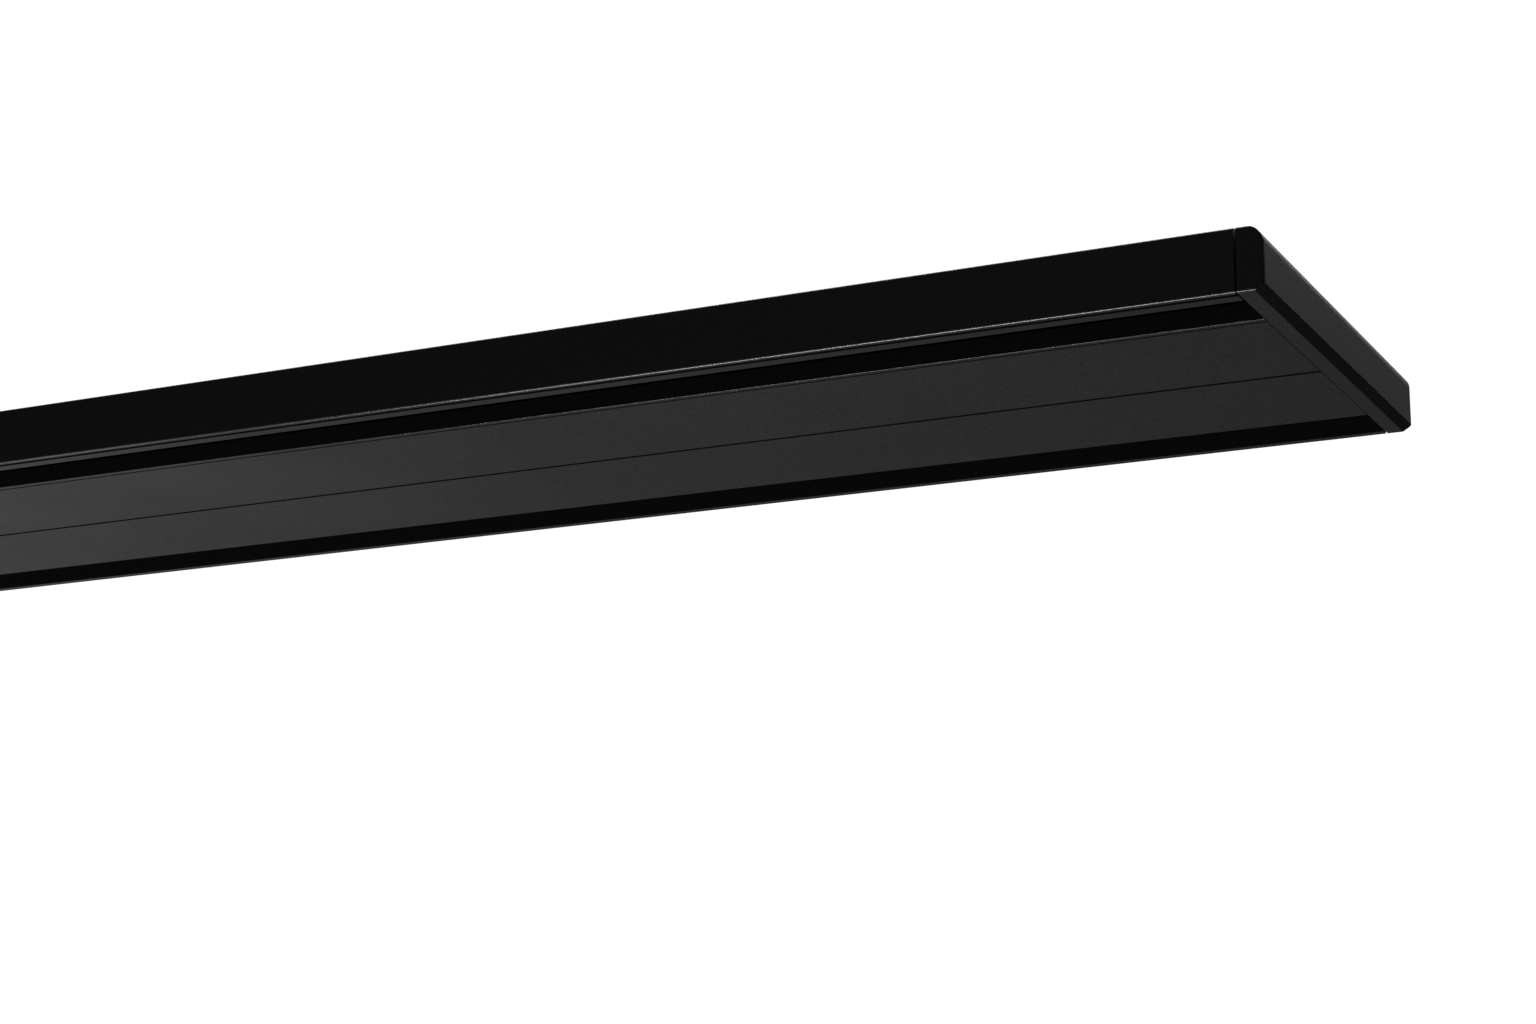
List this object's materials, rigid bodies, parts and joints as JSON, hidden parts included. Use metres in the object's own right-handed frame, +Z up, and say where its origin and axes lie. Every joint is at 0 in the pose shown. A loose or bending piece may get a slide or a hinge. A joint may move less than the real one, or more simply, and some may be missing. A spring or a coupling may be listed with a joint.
{
  "type": "led strip batten",
  "caption": "Slim black extruded batten with LED boards recessed in two slots of its underside, smoked lenses, moulded end caps and sliding top clips.",
  "frame": {"origin": "centre of the underside, midway between the end faces", "axes": "+X along the batten towards the end shown in the picture, +Y from the side with the wide lip towards the thin wall, +Z up, away from the light slots"},
  "size_m": [0.6, 0.08, 0.0096],
  "materials": {
    "housing_metal": "satin black anodised extrusion",
    "cap_plastic": "satin black moulding",
    "zinc_hardware": "zinc plated",
    "smoked_lens": "smoked, nearly opaque when unlit",
    "led_board": "white solder mask",
    "connector_plastic": "natural white moulding",
    "terminal_plastic": "grey moulding",
    "grommet_rubber": "matt",
    "red_insulation": "wire insulation",
    "black_insulation": "wire insulation"
  },
  "bodies": {
    "batten": {"board_joiner_far": "connector_plastic", "board_joiner_near": "connector_plastic", "cap_screw_1": "zinc_hardware", "cap_screw_2": "zinc_hardware", "cap_screw_3": "zinc_hardware", "cap_screw_4": "zinc_hardware", "end_cap_left": "cap_plastic", "end_cap_right": "cap_plastic", "feed_grommet": "grommet_rubber", "feed_terminal": "terminal_plastic", "housing": "housing_metal", "lead_far_negative": "black_insulation", "lead_far_positive": "red_insulation", "lead_near_negative": "black_insulation", "lead_near_positive": "red_insulation", "led_board_far_left": "led_board", "led_board_far_right": "led_board", "led_board_near_left": "led_board", "led_board_near_right": "led_board", "lens_far": "smoked_lens", "lens_near": "smoked_lens", "strip_connector_far": "connector_plastic", "strip_connector_near": "connector_plastic", "terminal_screw_1": "zinc_hardware", "terminal_screw_2": "zinc_hardware"},
    "clip_1": {"mounting_clip_1": "zinc_hardware", "clip_set_screw_1": "zinc_hardware"},
    "clip_2": {"mounting_clip_2": "zinc_hardware", "clip_set_screw_2": "zinc_hardware"}
  },
  "joints": [
    {"name": "clip_1_slide", "type": "slide", "parent": "batten", "child": "clip_1", "axis": [1, 0, 0], "range_m": [-0.008, 0.17]},
    {"name": "clip_2_slide", "type": "slide", "parent": "batten", "child": "clip_2", "axis": [1, 0, 0], "range_m": [-0.17, 0.06]}
  ]
}
